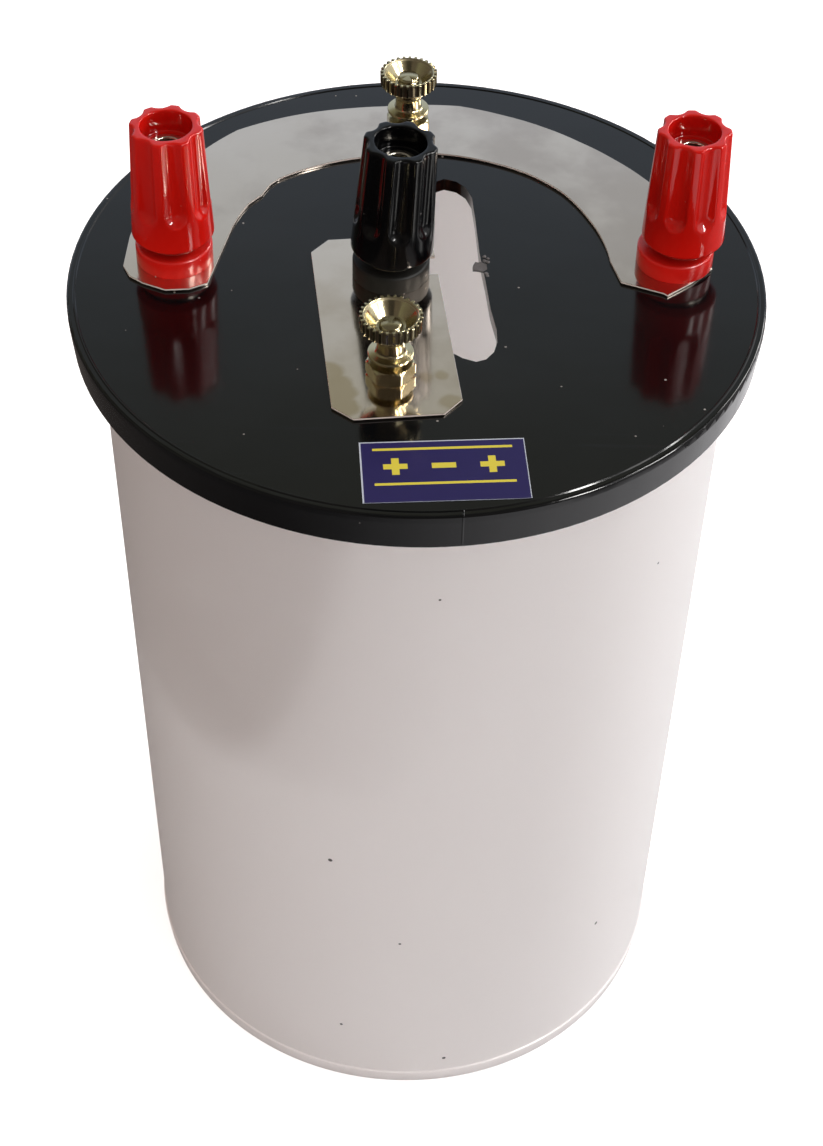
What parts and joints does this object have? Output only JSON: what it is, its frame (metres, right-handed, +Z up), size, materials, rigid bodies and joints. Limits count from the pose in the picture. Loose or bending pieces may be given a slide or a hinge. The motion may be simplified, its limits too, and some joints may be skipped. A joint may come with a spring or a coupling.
{
  "type": "copper voltameter",
  "caption": "Laboratory copper voltameter: a tapered plastic jar with a lifting lid that carries fluted socket posts, knurled thumb-nut terminals, bright sheet links and hanging copper plates.",
  "frame": {"origin": "middle of the jar's foot, on the bench", "axes": "+Z up along the jar's axis, -Y towards the front terminal and the sticker's place, +X towards the right red post"},
  "size_m": [0.125, 0.125, 0.2048],
  "materials": {
    "white_plastic": "glossy, slightly translucent",
    "black_plastic": "glossy, finely scratched",
    "bright_sheet": "mirror bright",
    "red_plastic": "glossy",
    "post_black": "glossy",
    "plated_metal": "nickel plated",
    "brass": "polished, pale",
    "steel": "plated",
    "copper": "satin copper"
  },
  "bodies": {
    "jar": {"jar": "white_plastic"},
    "left_insert": {"left_insert": "plated_metal"},
    "left_cap": {"left_cap": "red_plastic"},
    "centre_insert": {"centre_insert": "plated_metal"},
    "centre_cap": {"centre_cap": "post_black"},
    "right_insert": {"right_insert": "plated_metal"},
    "right_cap": {"right_cap": "red_plastic"},
    "front_thumb_neck": {"front_thumb_neck": "brass"},
    "front_thumb_head": {"front_thumb_head": "brass"},
    "back_thumb_neck": {"back_thumb_neck": "brass"},
    "back_thumb_head": {"back_thumb_head": "brass"},
    "lid": {"lid": "black_plastic", "anode_link": "bright_sheet", "cathode_link": "bright_sheet", "left_anode": "copper", "right_anode": "copper", "cathode": "copper", "lid_nuts": "steel", "lid_washers": "steel", "left_collar": "red_plastic", "left_stud": "brass", "left_bush": "red_plastic", "centre_collar": "post_black", "centre_stud": "brass", "centre_bush": "post_black", "right_collar": "red_plastic", "right_stud": "brass", "right_bush": "red_plastic", "front_stud": "brass", "front_lock_nut": "brass", "back_stud": "brass", "back_lock_nut": "brass"}
  },
  "joints": [
    {"name": "lid_lift", "type": "slide", "parent": "jar", "child": "lid", "axis": [0, 0, 1], "range_m": [0, 0.125]},
    {"name": "left_cap_rise", "type": "slide", "parent": "lid", "child": "left_insert", "axis": [0, 0, 1], "range_m": [-0.00067, 0.00525]},
    {"name": "left_cap_turn", "type": "hinge", "parent": "left_insert", "child": "left_cap", "pos_m": [-0.0437, 0.0037, 0.19], "axis": [0, 0, 1], "range_deg": [-343, 2701]},
    {"name": "centre_cap_rise", "type": "slide", "parent": "lid", "child": "centre_insert", "axis": [0.0593, 0, 0.9982], "range_m": [-0.00028, 0.00525]},
    {"name": "centre_cap_turn", "type": "hinge", "parent": "centre_insert", "child": "centre_cap", "pos_m": [-0.00411, 0.0005, 0.18998], "axis": [0.0593, 0, 0.9982], "range_deg": [-145, 2701]},
    {"name": "right_cap_rise", "type": "slide", "parent": "lid", "child": "right_insert", "axis": [0, 0, 1], "range_m": [-0.00067, 0.00525]},
    {"name": "right_cap_turn", "type": "hinge", "parent": "right_insert", "child": "right_cap", "pos_m": [0.0474, 0.0056, 0.19], "axis": [0, 0, 1], "range_deg": [-343, 2701]},
    {"name": "front_thumb_nut_rise", "type": "slide", "parent": "lid", "child": "front_thumb_neck", "axis": [0, 0, 1], "range_m": [-0.00136, 0.00466]},
    {"name": "front_thumb_nut_turn", "type": "hinge", "parent": "front_thumb_neck", "child": "front_thumb_head", "pos_m": [-0.00417, -0.02766, 0.188], "axis": [0, 0, 1], "range_deg": [-703, 2395]},
    {"name": "back_thumb_nut_rise", "type": "slide", "parent": "lid", "child": "back_thumb_neck", "axis": [0, 0, 1], "range_m": [-0.00136, 0.00466]},
    {"name": "back_thumb_nut_turn", "type": "hinge", "parent": "back_thumb_neck", "child": "back_thumb_head", "pos_m": [-0.0024, 0.0451, 0.188], "axis": [0, 0, 1], "range_deg": [-703, 2395]}
  ],
  "couplings": [
    {"joint": "left_cap_turn", "follows": "left_cap_rise", "rad_per_m": 8976},
    {"joint": "centre_cap_turn", "follows": "centre_cap_rise", "rad_per_m": 8976},
    {"joint": "right_cap_turn", "follows": "right_cap_rise", "rad_per_m": 8976},
    {"joint": "front_thumb_nut_turn", "follows": "front_thumb_nut_rise", "rad_per_m": 8976},
    {"joint": "back_thumb_nut_turn", "follows": "back_thumb_nut_rise", "rad_per_m": 8976}
  ]
}
